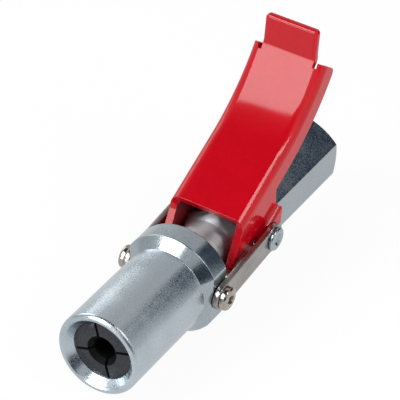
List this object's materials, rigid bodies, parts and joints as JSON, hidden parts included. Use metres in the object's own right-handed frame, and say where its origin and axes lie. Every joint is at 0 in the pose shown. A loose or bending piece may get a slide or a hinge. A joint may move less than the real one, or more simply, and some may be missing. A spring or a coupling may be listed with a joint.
{
  "type": "grease coupler",
  "caption": "Lock-on grease coupler: a hex body with a threaded inlet, and a sleeve that a squeezed red lever draws back so that black jaws open for a grease nipple.",
  "frame": {"origin": "centre of the inlet thread's mouth, on the hexagon's rear face", "axes": "+Y along the body towards the hose, nozzle to -Y, +Z to the lever's side, +X to the right"},
  "size_m": [0.03, 0.1023, 0.0604],
  "materials": {
    "zinc_steel": "bright zinc plate with a fine grain",
    "red_lacquer": "glossy red lacquer on pressed steel",
    "black_steel": "satin black oxide",
    "stainless_link": "flat stainless sheet, fine grain",
    "nickel_steel": "bright nickel plate",
    "rubber_black": "black nitrile rubber",
    "spring_wire": "drawn spring wire"
  },
  "bodies": {
    "body": {"coupler_body": "zinc_steel", "main_spring": "spring_wire", "stem_o_ring": "rubber_black", "check_seat": "nickel_steel", "check_spring": "spring_wire", "seal_spring": "spring_wire", "jaw_ring": "rubber_black", "pivot_stud_right": "stainless_link", "pivot_stud_left": "stainless_link"},
    "sleeve": {"outer_sleeve": "zinc_steel", "main_spring_washer": "stainless_link", "link_screw_right": "nickel_steel", "link_screw_left": "nickel_steel"},
    "lever": {"lever": "red_lacquer", "link_rivet_right": "zinc_steel", "link_rivet_left": "zinc_steel"},
    "link_right": {"link_right": "stainless_link"},
    "link_left": {"link_left": "stainless_link"},
    "jaw_1": {"jaw_1": "black_steel"},
    "jaw_2": {"jaw_2": "black_steel"},
    "jaw_3": {"jaw_3": "black_steel"},
    "jaw_4": {"jaw_4": "black_steel"},
    "seal": {"nozzle_seal": "rubber_black", "seal_holder": "nickel_steel", "seal_holder_o_ring": "rubber_black"},
    "ball": {"check_ball": "nickel_steel"}
  },
  "joints": [
    {"name": "lever_press", "type": "hinge", "parent": "body", "child": "lever", "pos_m": [0, -0.0489, -0.0022], "axis": [-1, 0, 0], "range_deg": [0, 28], "stiffness_Nm_per_rad": 0.8, "springref_deg": -20.05},
    {"name": "sleeve_slide", "type": "slide", "parent": "body", "child": "sleeve", "axis": [0, 1, 0], "range_m": [0, 0.0015], "deforming": ["main_spring"]},
    {"name": "link_right_swing", "type": "hinge", "parent": "sleeve", "child": "link_right", "pos_m": [0, -0.0667, 0], "axis": [-1, 0, 0], "range_deg": [0, 8.3]},
    {"name": "link_left_swing", "type": "hinge", "parent": "sleeve", "child": "link_left", "pos_m": [0, -0.0667, 0], "axis": [-1, 0, 0], "range_deg": [0, 8.3]},
    {"name": "jaw_1_swing", "type": "hinge", "parent": "body", "child": "jaw_1", "pos_m": [0.00204, -0.0843, 0.00401], "axis": [-0.891, 0, 0.454], "range_deg": [0, 1.85], "deforming": ["jaw_ring"]},
    {"name": "jaw_2_swing", "type": "hinge", "parent": "body", "child": "jaw_2", "pos_m": [-0.00401, -0.0843, 0.00204], "axis": [-0.454, 0, -0.891], "range_deg": [0, 1.85]},
    {"name": "jaw_3_swing", "type": "hinge", "parent": "body", "child": "jaw_3", "pos_m": [-0.00204, -0.0843, -0.00401], "axis": [0.891, 0, -0.454], "range_deg": [0, 1.85]},
    {"name": "jaw_4_swing", "type": "hinge", "parent": "body", "child": "jaw_4", "pos_m": [0.00401, -0.0843, -0.00204], "axis": [0.454, 0, 0.891], "range_deg": [0, 1.85]},
    {"name": "seal_slide", "type": "slide", "parent": "body", "child": "seal", "axis": [0, 1, 0], "range_m": [0, 0.0012], "stiffness_N_per_m": 3000, "springref_m": -0.002, "deforming": ["seal_spring"]},
    {"name": "check_ball_slide", "type": "slide", "parent": "body", "child": "ball", "axis": [0, -1, 0], "range_m": [0, 0.001], "stiffness_N_per_m": 300, "springref_m": -0.002, "deforming": ["check_spring"]}
  ],
  "couplings": [
    {"joint": "sleeve_slide", "follows": "lever_press", "m_per_rad": 0.0030257},
    {"joint": "link_right_swing", "follows": "lever_press", "ratio": 0.29384},
    {"joint": "link_left_swing", "follows": "lever_press", "ratio": 0.29384},
    {"joint": "jaw_1_swing", "follows": "lever_press", "ratio": 0.064286},
    {"joint": "jaw_2_swing", "follows": "lever_press", "ratio": 0.064286},
    {"joint": "jaw_3_swing", "follows": "lever_press", "ratio": 0.064286},
    {"joint": "jaw_4_swing", "follows": "lever_press", "ratio": 0.064286}
  ]
}
